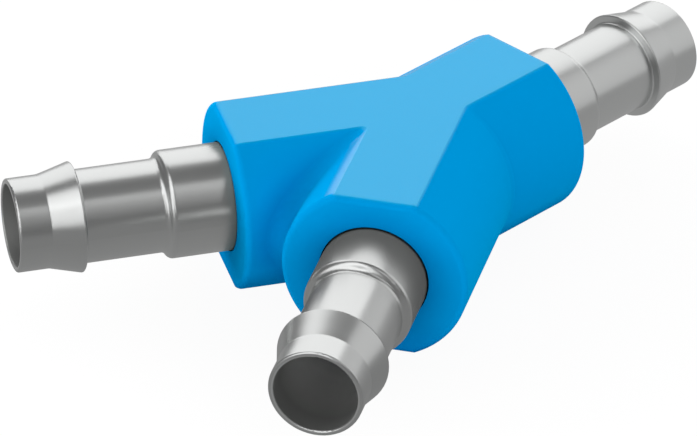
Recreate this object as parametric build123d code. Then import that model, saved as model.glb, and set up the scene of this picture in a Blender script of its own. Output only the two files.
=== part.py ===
from build123d import *
import os
from math import cos, radians, sin

# Y connector for soft tubing: a moulded plastic body with three round arms between two flats,
# and a barbed metal sleeve set into the end of each arm. Millimetres. The origin lies on the
# lower flat, straight under the point where the three arm axes meet. +Z is up, +X runs along
# the stem, and the two branches spread evenly about the XZ plane on the -X side.

# Moulded body
arm_diameter = 12.0
flat_depth = 0.6
stem_length = 8.5
branch_length = 13.4
branch_spread = 60.0
end_edge_radius = 0.4
valley_radius = 1.0
passage_diameter = 4.8

# Sleeve bore, its wall at the neck and the nose, and how far the root and the barb stand proud
bore_diameter = 5.3
thin_wall = 0.35
root_step = 0.47
barb_step = 0.575

# Sleeve lengths along its axis, from the arm's end face out to the mouth
root_length = 3.75
shoulder_length = 0.75
neck_length = 5.05
barb_back_length = 0.06
barb_cone_length = 2.14
nose_length = 2.07

# Sleeve foot, hidden in the arm's socket
foot_length = 5.5
groove_depth = 0.35
groove_width = 1.2
groove_to_face = 1.6

# Roundings and clearances
crest_rounding = 0.12
back_fillet = 0.12
nose_blend_radius = 0.4
lip_outer_rounding = 0.15
lip_inner_rounding = 0.1
socket_clearance = 0.08
cut_overrun = 1.0
same_place = 0.001

# Worked out from the sizes above
arm_radius = arm_diameter / 2
axis_height = arm_radius - flat_depth
body_height = 2 * axis_height
straight = 180.0
bore_radius = bore_diameter / 2
neck_radius = bore_radius + thin_wall
nose_radius = bore_radius + thin_wall
root_radius = neck_radius + root_step
crest_radius = neck_radius + barb_step
passage_radius = passage_diameter / 2
groove_radius = root_radius - groove_depth

shoulder_end = root_length + shoulder_length
neck_end = shoulder_end + neck_length
crest_place = neck_end + barb_back_length
nose_start = crest_place + barb_cone_length
mouth_place = nose_start + nose_length

# Each arm: its name, the direction of its axis in the XY plane and the length of its plastic
arms = [
    ("stem", 0.0, stem_length),
    ("left_branch", straight - branch_spread / 2, branch_length),
    ("right_branch", straight + branch_spread / 2, branch_length),
]


def on_arm(shape, angle, distance):
    """Turns a shape made along +X into an arm's direction, moved out along that arm's axis."""
    return Pos(0, 0, axis_height) * Rot(0, 0, angle) * Pos(distance, 0, 0) * shape


def bar_along_x(radius, length):
    """Round bar from the origin to +X."""
    return Rot(0, 90, 0) * Cylinder(radius, length, align=(Align.CENTER, Align.CENTER, Align.MIN))


def arm_bar(length):
    """Solid arm along +X: a round bar between two flats, with its end edges rounded."""
    bar = bar_along_x(arm_radius, length)
    bar = fillet(bar.faces().sort_by(Axis.X)[-1].edges(), end_edge_radius)
    slab = Box(length, 2 * arm_diameter, body_height, align=(Align.MIN, Align.CENTER, Align.CENTER))
    slab_end = slab.faces().sort_by(Axis.X)[-1]
    slab = fillet(slab_end.edges().filter_by(Axis.Y), end_edge_radius)
    return bar & slab


def valley_edges(solid):
    """The curved creases where two arms meet, which lie half way between the two arms' axes."""
    found = []
    half_spread = branch_spread / 2
    side_valley = (straight - half_spread) / 2
    for edge in solid.edges().filter_by(GeomType.ELLIPSE):
        middle = edge @ 0.5
        for angle in (straight, side_valley, -side_valley):
            across = middle.Y * cos(radians(angle)) - middle.X * sin(radians(angle))
            if abs(across) < same_place:
                found.append(edge)
    return found


def joined_arms():
    """The three arms as one solid."""
    joined = on_arm(arm_bar(stem_length), 0, 0)
    for _, angle, length in arms[1:]:
        joined += on_arm(arm_bar(length), angle, 0)
    return joined


def socket_tool():
    """What an arm's end leaves open: the sleeve's foot with its clearance, less the locking rib."""
    open_radius = root_radius + socket_clearance
    rib_radius = groove_radius + socket_clearance
    rib_outer = -groove_to_face - socket_clearance
    rib_inner = -groove_to_face - groove_width + socket_clearance
    outline = Polyline(
        (-foot_length, 0),
        (-foot_length, open_radius),
        (rib_inner, open_radius),
        (rib_inner, rib_radius),
        (rib_outer, rib_radius),
        (rib_outer, open_radius),
        (cut_overrun, open_radius),
        (cut_overrun, 0),
        close=True,
    )
    return revolve(make_face(outline), Axis.X)


def moulded_body():
    """The blue moulding, with rounded valleys, rounded end edges, passages and sockets."""
    body = joined_arms()
    body = fillet(valley_edges(body), valley_radius)
    body -= Pos(0, 0, axis_height) * Sphere(passage_radius)
    for _, angle, length in arms:
        body -= on_arm(bar_along_x(passage_radius, length), angle, 0)
        body -= on_arm(socket_tool(), angle, length)
    return body


def rounded(section, place, radius):
    """Rounds the corner of a section nearest to a place."""
    corner = section.vertices().sort_by_distance(place)[0]
    return fillet(corner, radius)


def sleeve_section():
    """Half section of a sleeve along X, from its foot to its mouth."""
    shoulder_middle = (root_length + shoulder_length / 2, (root_radius + neck_radius) / 2)
    foot = Polyline(
        (root_length, root_radius),
        (-groove_to_face, root_radius),
        (-groove_to_face, groove_radius),
        (-groove_to_face - groove_width, groove_radius),
        (-groove_to_face - groove_width, root_radius),
        (-foot_length, root_radius),
        (-foot_length, bore_radius),
        (mouth_place, bore_radius),
        (mouth_place, nose_radius),
        (nose_start, nose_radius),
        (crest_place, crest_radius),
        (neck_end, neck_radius),
        (shoulder_end, neck_radius),
    )
    hollow = TangentArc((shoulder_end, neck_radius), shoulder_middle, tangent=(-1, 0))
    bulge = TangentArc((root_length, root_radius), shoulder_middle, tangent=(1, 0))
    section = make_face(foot + hollow + bulge)
    section = rounded(section, (crest_place, crest_radius), crest_rounding)
    section = rounded(section, (neck_end, neck_radius), back_fillet)
    section = rounded(section, (nose_start, nose_radius), nose_blend_radius)
    section = rounded(section, (mouth_place, nose_radius), lip_outer_rounding)
    section = rounded(section, (mouth_place, bore_radius), lip_inner_rounding)
    return section


def barbed_sleeve():
    """A turned metal sleeve with a locking groove, a stepped shoulder and one barb."""
    return revolve(sleeve_section(), Axis.X)


def main():
    os.makedirs("parts", exist_ok=True)
    pieces = {"moulded_body": moulded_body()}
    for name, angle, length in arms:
        pieces[name + "_sleeve"] = on_arm(barbed_sleeve(), angle, length)
    for node, piece in pieces.items():
        piece.label = node
        export_step(piece, "parts/" + node + ".step")


main()
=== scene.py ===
from math import cos, pi, radians, sin

import bpy
from mathutils import Matrix, Vector


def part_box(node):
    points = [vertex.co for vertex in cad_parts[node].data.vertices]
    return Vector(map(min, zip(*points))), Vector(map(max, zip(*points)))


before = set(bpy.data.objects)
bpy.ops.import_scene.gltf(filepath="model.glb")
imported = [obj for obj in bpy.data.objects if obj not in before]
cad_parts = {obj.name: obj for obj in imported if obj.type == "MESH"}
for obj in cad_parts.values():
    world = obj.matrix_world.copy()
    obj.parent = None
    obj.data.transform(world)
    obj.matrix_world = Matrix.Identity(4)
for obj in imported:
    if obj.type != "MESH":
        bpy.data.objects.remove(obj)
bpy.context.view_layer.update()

# Tubing Y connector. Metres, in the frame of the solids: the origin lies on the lower flat,
# under the point where the three arm axes meet, with +Z up and +X along the stem. Directions
# are an azimuth from +X toward +Y and an elevation above the floor, in degrees.

BODY = "moulded_body"
SLEEVES = {"stem_sleeve": 0, "left_branch_sleeve": 150, "right_branch_sleeve": 210}
QUARTER_TURN = 90

# The photograph's camera: its direction and roll, its distance from the point where the axes
# meet, its shift across the view, and its focal length and sensor width in millimetres
VIEW_AZIMUTH = -135.09
VIEW_ELEVATION = 31.91
VIEW_ROLL = 0.09
VIEW_DISTANCE = 0.420
VIEW_RIGHT = -0.005006
VIEW_UP = -0.003223
CLIP_START = 0.0042
FOCAL_LENGTH = 339.7
SENSOR_WIDTH = 36.0

# Studio lamps: azimuth, elevation, width, height and brightness. The boxes are only what gloss
# and metal mirror, where a brightness of 1 shows as white in a perfect mirror. The fills give
# only the soft light.
LAMP_DISTANCE = 0.60
BOXES = {
    "back_box": (48, 32, 0.84, 0.71, 1.08),
    "left_box": (176, 35, 0.40, 1.15, 1.25),
    "slim_box": (-146, 37, 0.14, 0.59, 1.42),
    "front_box": (-97, 44, 0.09, 0.50, 1.06),
    "right_box": (-30, 21, 0.74, 0.70, 0.56),
}
FILLS = {
    "back_fill": (20, 30, 1.00, 0.69, 1.95),
    "left_fill": (108, 15, 1.00, 0.32, 3.20),
    "front_fill": (-140, 15, 1.00, 0.32, 2.55),
}

# The room round the object: how bright gloss and metal see it, and how much soft light it gives
ROOM_MIRRORED = 0.22
ROOM_LIGHT = 0.35

# Colours of the plastic: on the round sides and ends; on the flats, painted lighter and greener
# as painted light;
# deep in a corner, as painted shade; and as mirrored and bounced light sees it, a painted
# reflection and painted shade
SIDE_DEEP = (0.0, 0.345, 0.82)
SIDE_LIGHT = (0.0, 0.355, 0.84)
PAINTED_LIT_FLAT_DEEP = (0.0, 0.425, 0.84)
PAINTED_LIT_FLAT_LIGHT = (0.0, 0.435, 0.86)
PAINTED_CORNER_SHADE = (0.0, 0.18, 0.54)
PAINTED_PLASTIC_REFLECTION = (0.20, 0.20, 0.20)
PLASTIC_BOUNCED = (0.0, 0.12, 0.50)

# Painted shade in the plastic's corners: how far it reaches, and how open a spot is (1 on an
# open surface) where it has the painted shade in full and where it has none of it
CORNER_REACH = 0.003
CORNER_SHUT = 0.34
CORNER_OPEN = 0.94

# Gloss of the plastic: the flats have it down to the depth of their skin. The edges beside them
# have it a little deeper, only where they are seen at a grazing angle (1 is edge-on), and not
# within a short distance of an arm's end. The rest has a weak sheen instead.
PLASTIC_IOR = 1.5
GLOSS_TINT = (0.4, 1.0, 0.95)
FLAT_GLOSS = 0.49
FLAT_SKIN = 0.00008
EDGE_SKIN = 0.00045
END_EDGE = 0.0005
GRAZING_FROM = 0.48
GRAZING_TO = 0.62
SIDE_SHEEN = 0.15
SHEEN_TINT = (0.0, 0.9, 1.0)
PLASTIC_ROUGHNESS = (0.12, 0.18)
MOULD_GRAIN_SIZE = 0.00015
MOULD_GRAIN_DEPTH = 0.0000006

# Metal: its colour, its colour as bounced light sees it (dark grey, as painted shade), its
# roughness and its turning marks
METAL_DARK = (0.63, 0.64, 0.635)
METAL_LIGHT = (0.66, 0.67, 0.665)
METAL_BOUNCED = (0.20, 0.20, 0.20)
METAL_ROUGHNESS = (0.26, 0.30)
RING_PITCH = 0.0004
RING_DETAIL = 1.0
RING_DEPTH = 0.0000004

# A sleeve's bore and the lip round its mouth: the lip's lighter grey is a painted highlight. The
# bore's grey is painted shade near the mouth; it changes with the distance from the mouth, and
# fades out over the first part of the lip
BORE_RADIUS = 0.00265
BORE_EDGE = 0.00271
LIP_RADIUS = 0.00278
LIP_HIGHLIGHT_GREY = (0.78, 0.79, 0.785)
MOUTH_SHADE_GREY = (0.31, 0.315, 0.31)
DEEP_GREY = (0.90, 0.91, 0.905)
MOUTH_DEPTH = 0.0015
DEEP_DEPTH = 0.006
BORE_ROUGHNESS = 0.55
BORE_METALLIC = 0.70

# Cloudy colour of both materials, and patchy gloss of the plastic
CLOUD_SIZE = 0.012
PATCH_SIZE = 0.0012
NOISE_DETAIL = 2.0

# Floor as the camera sees it: white, with a shadow that fades out, and as it gives soft light
FLOOR_HALF_SIDE = 3.0
FLOOR_SHADE = 0.05
FLOOR_FADE_FROM = 0.015
FLOOR_FADE_TO = 0.05
FLOOR_GREY = 0.35
FLOOR_BOUNCE = 0.21

# Floor as gloss and metal see it, a painted reflection: darker under the object as painted
# shadow, and darker toward one side of the room
FLOOR_MIRRORED = 0.41
UNDER_SHADOW_MIRRORED = 0.28
UNDER_FROM = 0.008
UNDER_TO = 0.016
DARK_SIDE = -135
DARK_MIRRORED = 0.28
DARK_FROM = -0.008
DARK_TO = 0.017

# The point where the three arm axes meet, half way up the body
body_low, body_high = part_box(BODY)
axes_meet = Vector((0, 0, (body_low[2] + body_high[2]) / 2))


def direction(azimuth, elevation):
    """Unit vector at an azimuth and an elevation in degrees."""
    turn, rise = radians(azimuth), radians(elevation)
    return Vector((cos(turn) * cos(rise), sin(turn) * cos(rise), sin(rise)))


def end_distance(node, azimuth):
    """How far a solid reaches from the point where the axes meet, in a level direction."""
    axis = direction(azimuth, 0)
    return max((spot.co - axes_meet).dot(axis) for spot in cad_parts[node].data.vertices)


def new_material(name):
    """A material with an empty node tree and its output."""
    material = bpy.data.materials.new(name)
    material.use_nodes = True
    nodes = material.node_tree.nodes
    nodes.clear()
    output = nodes.new("ShaderNodeOutputMaterial")
    return material, nodes, material.node_tree.links, output


def dress(node, material):
    """Gives a solid of the model a material."""
    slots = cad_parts[node].data.materials
    slots.clear()
    slots.append(material)


def feed(links, node, values):
    """Feeds a node's inputs in order with sockets, or with numbers or vectors."""
    for socket, value in zip(node.inputs, values):
        if isinstance(value, bpy.types.NodeSocket):
            links.new(value, socket)
        else:
            socket.default_value = value


def maths(nodes, links, operation, *values):
    """Result socket of a math node fed with sockets or numbers."""
    node = nodes.new("ShaderNodeMath")
    node.operation = operation
    feed(links, node, values)
    return node.outputs["Value"]


def vector_maths(nodes, links, operation, *values):
    """A vector math node fed with sockets or vectors."""
    node = nodes.new("ShaderNodeVectorMath")
    node.operation = operation
    feed(links, node, values)
    return node


def spread(nodes, links, value, low, high, start=0.0, end=1.0):
    """Carries a value from the range start to end over to the range low to high."""
    node = nodes.new("ShaderNodeMapRange")
    links.new(value, node.inputs["Value"])
    node.inputs["From Min"].default_value = start
    node.inputs["From Max"].default_value = end
    node.inputs["To Min"].default_value = low
    node.inputs["To Max"].default_value = high
    return node.outputs["Result"]


def blend(nodes, links, amount, first, second):
    """Mixes two colours; a colour may be a socket."""
    node = nodes.new("ShaderNodeMix")
    node.data_type = "RGBA"
    links.new(amount, node.inputs["Factor"])
    for name, colour in (("A", first), ("B", second)):
        target = next(i for i in node.inputs if i.name == name and i.type == "RGBA")
        if isinstance(colour, bpy.types.NodeSocket):
            links.new(colour, target)
        else:
            target.default_value = (*colour, 1)
    return next(o for o in node.outputs if o.type == "RGBA")


def grain(nodes, links, place, size):
    """Soft noise whose blotches are about a given size."""
    node = nodes.new("ShaderNodeTexNoise")
    links.new(place, node.inputs["Vector"])
    node.inputs["Scale"].default_value = 1 / size
    node.inputs["Detail"].default_value = NOISE_DETAIL
    return node.outputs["Fac"]


def relief(nodes, links, height, depth):
    """Bump of a given depth from a height between 0 and 1."""
    node = nodes.new("ShaderNodeBump")
    links.new(height, node.inputs["Height"])
    node.inputs["Distance"].default_value = depth
    return node.outputs["Normal"]


def openness(nodes, reach):
    """How open a spot is within a distance: 1 on an open surface, and less in a corner."""
    node = nodes.new("ShaderNodeAmbientOcclusion")
    node.inputs["Distance"].default_value = reach
    return node.outputs["AO"]


def level_of(nodes, links, place):
    """How far a spot is above or below the middle height of the body."""
    heights = nodes.new("ShaderNodeSeparateXYZ")
    links.new(place, heights.inputs["Vector"])
    off_middle = maths(nodes, links, "SUBTRACT", heights.outputs["Z"], axes_meet.z)
    return maths(nodes, links, "ABSOLUTE", off_middle)


def glossy_edges(nodes, links, place, level):
    """The edges beside the flats, seen at a grazing angle, but not at the arms' ends."""
    weight = nodes.new("ShaderNodeLayerWeight").outputs["Facing"]
    grazing = spread(nodes, links, weight, 0.0, 1.0, GRAZING_FROM, GRAZING_TO)
    edge_from = axes_meet.z - EDGE_SKIN
    edge_to = axes_meet.z - FLAT_SKIN
    near_flat = spread(nodes, links, level, 0.0, 1.0, edge_from, edge_to)
    for angle in SLEEVES.values():
        dot = vector_maths(nodes, links, "DOT_PRODUCT", place, direction(angle, 0))
        end_edge = end_distance(BODY, angle) - END_EDGE
        before_end = maths(nodes, links, "LESS_THAN", dot.outputs["Value"], end_edge)
        near_flat = maths(nodes, links, "MULTIPLY", near_flat, before_end)
    return maths(nodes, links, "MULTIPLY", near_flat, grazing)


def plastic_colour(nodes, links, place, flat):
    """Cloudy blue, painted lighter on the flats as painted light, and deeper in corners as
    painted shade.
    """
    clouds = grain(nodes, links, place, CLOUD_SIZE)
    side_blue = blend(nodes, links, clouds, SIDE_DEEP, SIDE_LIGHT)
    # Painted light: the flats are a lighter, greener blue, as where light falls on the top
    painted_lit_flat_blue = blend(nodes, links, clouds, PAINTED_LIT_FLAT_DEEP, PAINTED_LIT_FLAT_LIGHT)
    blue = blend(nodes, links, flat, side_blue, painted_lit_flat_blue)
    # Painted shade: the blue deepens in corners, where shade falls
    opened = openness(nodes, CORNER_REACH)
    unshaded = spread(nodes, links, opened, 0.0, 1.0, CORNER_SHUT, CORNER_OPEN)
    blue = blend(nodes, links, unshaded, PAINTED_CORNER_SHADE, blue)
    # Painted shade and a painted reflection: bounced light sees a darker blue, and mirrored rays
    # see a dark grey instead of blue
    path = nodes.new("ShaderNodeLightPath").outputs
    blue = blend(nodes, links, path["Is Diffuse Ray"], blue, PLASTIC_BOUNCED)
    return blend(nodes, links, path["Is Glossy Ray"], blue, PAINTED_PLASTIC_REFLECTION)


def blue_plastic():
    """Smooth moulded plastic, light blue, with polished flats and a very fine mould grain."""
    material, nodes, links, output = new_material("blue_plastic")
    place = nodes.new("ShaderNodeTexCoord").outputs["Object"]
    shader = nodes.new("ShaderNodeBsdfPrincipled")

    # The flats are what lies farthest from the middle height
    level = level_of(nodes, links, place)
    flat = spread(nodes, links, level, 0.0, 1.0, axes_meet.z - FLAT_SKIN, axes_meet.z)
    edges = glossy_edges(nodes, links, place, level)
    shiny = maths(nodes, links, "MAXIMUM", flat, edges)

    links.new(plastic_colour(nodes, links, place, flat), shader.inputs["Base Color"])
    patches = grain(nodes, links, place, PATCH_SIZE)
    links.new(spread(nodes, links, patches, *PLASTIC_ROUGHNESS), shader.inputs["Roughness"])
    mould = grain(nodes, links, place, MOULD_GRAIN_SIZE)
    links.new(relief(nodes, links, mould, MOULD_GRAIN_DEPTH), shader.inputs["Normal"])
    gloss = spread(nodes, links, shiny, 0.0, FLAT_GLOSS)
    links.new(gloss, shader.inputs["Specular IOR Level"])
    shader.inputs["Specular Tint"].default_value = (*GLOSS_TINT, 1)
    shader.inputs["IOR"].default_value = PLASTIC_IOR
    links.new(spread(nodes, links, flat, SIDE_SHEEN, 0.0), shader.inputs["Sheen Weight"])
    shader.inputs["Sheen Tint"].default_value = (*SHEEN_TINT, 1)
    links.new(shader.outputs["BSDF"], output.inputs["Surface"])
    return material


def turning_marks(nodes, links, along):
    """Relief of fine rings that differ only along a sleeve's axis."""
    rings = nodes.new("ShaderNodeTexNoise")
    rings.noise_dimensions = "1D"
    links.new(along, rings.inputs["W"])
    rings.inputs["Scale"].default_value = 1 / RING_PITCH
    rings.inputs["Detail"].default_value = RING_DETAIL
    return relief(nodes, links, rings.outputs["Fac"], RING_DEPTH)


def from_sleeve_axis(nodes, links, from_middle, along, axis):
    """How far a spot is from a sleeve's axis."""
    on_axis = vector_maths(nodes, links, "SCALE", axis)
    links.new(along, on_axis.inputs["Scale"])
    off_axis = vector_maths(nodes, links, "SUBTRACT", from_middle, on_axis.outputs["Vector"])
    return vector_maths(nodes, links, "LENGTH", off_axis.outputs["Vector"]).outputs["Value"]


def metal_colour(nodes, links, clouds, radius, depth, in_bore):
    """Cloudy grey, with a lip painted lighter as a painted highlight, and a bore painted dark
    near its mouth as painted shade.
    """
    grey = blend(nodes, links, clouds, METAL_DARK, METAL_LIGHT)
    # Painted highlight: the lip is a lighter grey, so its rim shines brighter
    on_lip = maths(nodes, links, "LESS_THAN", radius, LIP_RADIUS)
    grey = blend(nodes, links, on_lip, grey, LIP_HIGHLIGHT_GREY)
    # Painted shade: the bore is dark grey near its mouth and lighter further in
    deep = spread(nodes, links, depth, 0.0, 1.0, MOUTH_DEPTH, DEEP_DEPTH)
    bore_shade_grey = blend(nodes, links, deep, MOUTH_SHADE_GREY, DEEP_GREY)
    grey = blend(nodes, links, in_bore, grey, bore_shade_grey)
    # Painted shade: bounced light sees the metal as dark grey, so the shade beside the sleeves
    # is deeper
    bounced = nodes.new("ShaderNodeLightPath").outputs["Is Diffuse Ray"]
    return blend(nodes, links, bounced, grey, METAL_BOUNCED)


def satin_metal(sleeve, angle):
    """Turned and softly polished metal for a sleeve, with a rougher bore painted dark as shade
    and a lip painted lighter as a painted highlight.
    """
    material, nodes, links, output = new_material(sleeve + "_metal")
    place = nodes.new("ShaderNodeTexCoord").outputs["Object"]
    shader = nodes.new("ShaderNodeBsdfPrincipled")
    axis = direction(angle, 0)
    from_middle = vector_maths(nodes, links, "SUBTRACT", place, axes_meet).outputs["Vector"]
    along = vector_maths(nodes, links, "DOT_PRODUCT", from_middle, axis).outputs["Value"]
    radius = from_sleeve_axis(nodes, links, from_middle, along, axis)
    depth = maths(nodes, links, "SUBTRACT", end_distance(sleeve, angle), along)
    in_bore = spread(nodes, links, radius, 1.0, 0.0, BORE_RADIUS, BORE_EDGE)
    clouds = grain(nodes, links, place, CLOUD_SIZE)

    colour = metal_colour(nodes, links, clouds, radius, depth, in_bore)
    links.new(colour, shader.inputs["Base Color"])
    dull = maths(nodes, links, "MULTIPLY", in_bore, BORE_ROUGHNESS)
    polished = spread(nodes, links, clouds, *METAL_ROUGHNESS)
    links.new(maths(nodes, links, "MAXIMUM", polished, dull), shader.inputs["Roughness"])
    links.new(spread(nodes, links, in_bore, 1.0, BORE_METALLIC), shader.inputs["Metallic"])
    links.new(turning_marks(nodes, links, along), shader.inputs["Normal"])
    links.new(shader.outputs["BSDF"], output.inputs["Surface"])
    return material


def add_lamp(name, azimuth, elevation, width, height, brightness, mirrored):
    """A soft rectangular lamp that faces the object, and is either mirrored or lights softly."""
    data = bpy.data.lights.new(name, "AREA")
    data.shape = "RECTANGLE"
    data.size = width
    data.size_y = height
    data.energy = brightness * pi * width * height
    lamp = bpy.data.objects.new(name, data)
    bpy.context.scene.collection.objects.link(lamp)
    away = direction(azimuth, elevation)
    lamp.location = axes_meet + away * LAMP_DISTANCE
    lamp.rotation_euler = away.to_track_quat("Z", "Y").to_euler()
    lamp.visible_camera = False
    lamp.visible_glossy = mirrored
    lamp.visible_diffuse = not mirrored


def add_camera():
    """The photograph's camera."""
    back = direction(VIEW_AZIMUTH, VIEW_ELEVATION)
    right = direction(VIEW_AZIMUTH + QUARTER_TURN, 0)
    up = back.cross(right)
    place = axes_meet + back * VIEW_DISTANCE + right * VIEW_RIGHT + up * VIEW_UP
    roll = radians(VIEW_ROLL)
    rolled_right = right * cos(roll) + up * sin(roll)
    rolled_up = up * cos(roll) - right * sin(roll)
    axes = Matrix((rolled_right, rolled_up, back)).transposed().to_4x4()
    data = bpy.data.cameras.new("camera")
    data.lens = FOCAL_LENGTH
    data.sensor_width = SENSOR_WIDTH
    data.sensor_fit = "HORIZONTAL"
    data.clip_start = CLIP_START
    camera = bpy.data.objects.new("camera", data)
    bpy.context.scene.collection.objects.link(camera)
    camera.matrix_world = Matrix.Translation(place) @ axes
    bpy.context.scene.camera = camera


def mirrored_floor(nodes, links, place, away):
    """How bright gloss and metal see the floor: a painted reflection, with a painted shadow
    under the object.
    """
    # Painted shadow: the mirrored floor is darker under the object
    under = spread(nodes, links, away, UNDER_SHADOW_MIRRORED, FLOOR_MIRRORED, UNDER_FROM, UNDER_TO)
    dot = vector_maths(nodes, links, "DOT_PRODUCT", place, direction(DARK_SIDE, 0))
    toward = dot.outputs["Value"]
    side = spread(nodes, links, toward, FLOOR_MIRRORED, DARK_MIRRORED, DARK_FROM, DARK_TO)
    return maths(nodes, links, "MINIMUM", under, side)


def pale_floor():
    """White to the camera, with the object's shadow kept, and dimmer to other rays."""
    material, nodes, links, output = new_material("floor")
    place = nodes.new("ShaderNodeTexCoord").outputs["Object"]
    away = vector_maths(nodes, links, "LENGTH", place).outputs["Value"]
    path = nodes.new("ShaderNodeLightPath").outputs
    camera_ray, diffuse_ray = path["Is Camera Ray"], path["Is Diffuse Ray"]

    # What the lamps light: a little for the camera, which shows the shadow, and more for the
    # soft light
    grey = nodes.new("ShaderNodeBsdfDiffuse")
    shaded = maths(nodes, links, "MULTIPLY", camera_ray, FLOOR_SHADE)
    bouncing = maths(nodes, links, "MULTIPLY", diffuse_ray, FLOOR_GREY)
    links.new(maths(nodes, links, "ADD", bouncing, shaded), grey.inputs["Color"])

    # What shines by itself
    glow = nodes.new("ShaderNodeEmission")
    white = spread(nodes, links, away, 1 - FLOOR_SHADE, 1.0, FLOOR_FADE_FROM, FLOOR_FADE_TO)
    seen = maths(nodes, links, "MULTIPLY", camera_ray, white)
    lighting = maths(nodes, links, "MULTIPLY", diffuse_ray, FLOOR_BOUNCE)
    shown = mirrored_floor(nodes, links, place, away)
    mirrored = maths(nodes, links, "MULTIPLY", path["Is Glossy Ray"], shown)
    unseen = maths(nodes, links, "ADD", lighting, mirrored)
    links.new(maths(nodes, links, "ADD", seen, unseen), glow.inputs["Strength"])

    both = nodes.new("ShaderNodeAddShader")
    links.new(grey.outputs["BSDF"], both.inputs[0])
    links.new(glow.outputs["Emission"], both.inputs[1])
    links.new(both.outputs["Shader"], output.inputs["Surface"])
    return material


def add_floor():
    """A large level sheet under the object."""
    side = FLOOR_HALF_SIDE
    spots = [(-side, -side, 0), (side, -side, 0), (side, side, 0), (-side, side, 0)]
    mesh = bpy.data.meshes.new("floor")
    mesh.from_pydata(spots, [], [(0, 1, 2, 3)])
    mesh.materials.append(pale_floor())
    floor = bpy.data.objects.new("floor", mesh)
    bpy.context.scene.collection.objects.link(floor)


def light_room():
    """The room: white to the camera, dim in mirrored views, and soft light elsewhere."""
    world = bpy.data.worlds.new("room")
    bpy.context.scene.world = world
    world.use_nodes = True
    nodes, links = world.node_tree.nodes, world.node_tree.links
    nodes.clear()
    output = nodes.new("ShaderNodeOutputWorld")
    room = nodes.new("ShaderNodeBackground")
    path = nodes.new("ShaderNodeLightPath").outputs
    strength = spread(nodes, links, path["Is Glossy Ray"], ROOM_LIGHT, ROOM_MIRRORED)
    room_white = maths(nodes, links, "MAXIMUM", strength, path["Is Camera Ray"])
    links.new(room_white, room.inputs["Strength"])
    links.new(room.outputs["Background"], output.inputs["Surface"])


dress(BODY, blue_plastic())
for sleeve, angle in SLEEVES.items():
    dress(sleeve, satin_metal(sleeve, angle))
for name, settings in BOXES.items():
    add_lamp(name, *settings, True)
for name, settings in FILLS.items():
    add_lamp(name, *settings, False)
add_floor()
light_room()
add_camera()
bpy.context.scene.view_settings.view_transform = "Standard"
